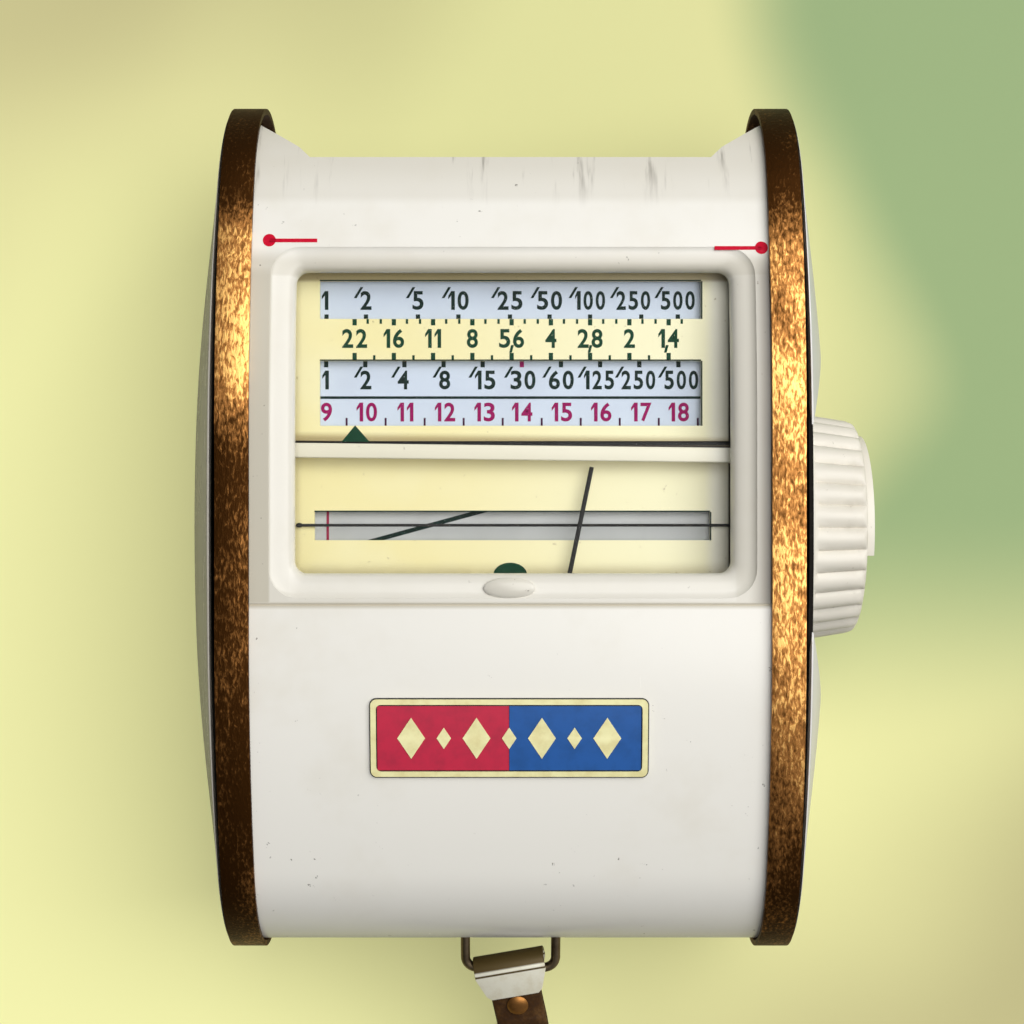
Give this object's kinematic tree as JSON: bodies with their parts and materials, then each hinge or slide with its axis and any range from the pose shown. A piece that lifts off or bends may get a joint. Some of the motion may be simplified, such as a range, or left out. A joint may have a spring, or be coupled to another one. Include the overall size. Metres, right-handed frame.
{
  "type": "pocket exposure meter",
  "caption": "Pocket light meter with a windowed sliding scale, a pivoted needle over a turning drum, a side knob, a roller blind over the light cell and a wrist strap.",
  "frame": {"origin": "on the resting surface, under the middle of the meter's bounding box without the strap and its clip", "axes": "+X along the knob's axis towards the knob, +Y towards the light cell's end, +Z out of the window"},
  "size_m": [0.0588, 0.1499, 0.03],
  "materials": {
    "white_plastic": "glossy moulded, a little soiled",
    "ivory_plastic": "satin moulded, aged ivory",
    "grey_plastic": "glossy moulded",
    "black_plastic": "matt moulded",
    "clear_plastic": "clear and polished",
    "aged_brass": "lacquered strip with brown patina",
    "brass": "plain turned and stamped",
    "bronze_wire": "dark tarnished wire",
    "steel": "plain bright steel",
    "soft_iron": "soft iron, zinc plated",
    "magnet_alloy": "cast and ground magnet alloy",
    "copper_winding": "enamelled copper wire",
    "cream_enamel": "satin cream enamel",
    "pale_print": "printed, pale blue grey",
    "black_enamel": "black enamel",
    "red_blue_enamel": "red and blue enamel in a gilt border",
    "selenium": "dark coated plate",
    "red_wire": "insulated wire",
    "brown_leather": "dark brown, worn"
  },
  "bodies": {
    "case": {"window_frame": "white_plastic", "rear_housing": "white_plastic", "track_cheek_left": "white_plastic", "track_cheek_right": "white_plastic", "side_cover_left": "grey_plastic", "side_cover_right_upper": "grey_plastic", "side_cover_right_lower": "grey_plastic", "side_liner_left": "black_plastic", "side_liner_right": "black_plastic", "cell_holder": "black_plastic", "cell_lead_negative": "black_plastic", "window_glass": "clear_plastic", "lens_plate": "clear_plastic", "trim_band_left": "aged_brass", "trim_band_right": "aged_brass", "drum_bush": "brass", "sleeve_bush": "brass", "chassis_left": "brass", "chassis_right": "brass", "cell_contact": "brass", "movement_base": "brass", "core_support": "brass", "movement_bridge": "brass", "jewel_screw_upper": "brass", "jewel_screw_lower": "brass", "ring_lug": "brass", "slide_rail_upper": "steel", "slide_rail_lower": "steel", "return_ring": "soft_iron", "core_magnet": "magnet_alloy", "hairspring_upper": "copper_winding", "hairspring_lower": "copper_winding", "upper_dial_plate": "cream_enamel", "lower_dial_plate": "cream_enamel", "window_crossbar": "cream_enamel", "index_wire": "black_enamel", "name_plate": "red_blue_enamel", "selenium_cell": "selenium", "cell_lead_positive": "red_wire", "strap": "brown_leather"},
    "knob_drive": {"knob": "ivory_plastic", "knob_sleeve": "brass", "drive_gear": "brass", "disc_spring_washer": "steel"},
    "film_dial": {"film_speed_disc": "ivory_plastic", "drum_shaft": "steel", "spiral_drum": "pale_print"},
    "cam_set": {"cam_gear": "brass", "scale_cam": "brass", "cam_shaft": "steel"},
    "time_scale": {"scale_slide": "pale_print", "slide_follower_pin": "steel"},
    "cell_blind": {"roller_blind": "white_plastic"},
    "needle_coil": {"moving_coil": "copper_winding", "needle": "black_enamel"},
    "carry_ring": {"strap_ring": "bronze_wire", "strap_clip": "brass", "clip_rivet": "brass"},
    "zero_screw": {"zero_adjust_screw": "brass"}
  },
  "joints": [
    {"name": "knob_turn", "type": "hinge", "parent": "case", "child": "knob_drive", "pos_m": [0.02365, 0.00156, 0.015], "axis": [1, 0, 0], "range_deg": [-150, 150]},
    {"name": "film_speed_set", "type": "hinge", "parent": "knob_drive", "child": "film_dial", "pos_m": [0.02775, 0.00156, 0.015], "axis": [1, 0, 0], "range_deg": [-160, 160]},
    {"name": "cam_turn", "type": "hinge", "parent": "case", "child": "cam_set", "pos_m": [-0.00165, 0.01588, 0.01349], "axis": [1, 0, 0], "range_deg": [-150, 150]},
    {"name": "scale_travel", "type": "slide", "parent": "case", "child": "time_scale", "axis": [1, 0, 0], "range_m": [-0.0039, 0.0039]},
    {"name": "blind_roll", "type": "hinge", "parent": "case", "child": "cell_blind", "pos_m": [-0.00165, 0.02666, 0.015], "axis": [1, 0, 0], "range_deg": [0, 97]},
    {"name": "needle_swing", "type": "hinge", "parent": "case", "child": "needle_coil", "pos_m": [-0.00085, -0.02244, 0.02], "axis": [0, 0, 1], "range_deg": [-22, 47], "stiffness_Nm_per_rad": 0.000002},
    {"name": "ring_swing", "type": "hinge", "parent": "case", "child": "carry_ring", "pos_m": [-0.00165, -0.03194, 0.015], "axis": [1, 0, 0], "range_deg": [-55, 15], "deforming": ["strap"]},
    {"name": "zero_set", "type": "hinge", "parent": "case", "child": "zero_screw", "pos_m": [-0.00085, -0.02244, 0.003], "axis": [0, 0, 1], "range_deg": [-20, 20]}
  ],
  "couplings": [
    {"joint": "cam_turn", "follows": "knob_turn", "ratio": -1},
    {"joint": "scale_travel", "follows": "knob_turn", "m_per_rad": 0.0014895}
  ]
}
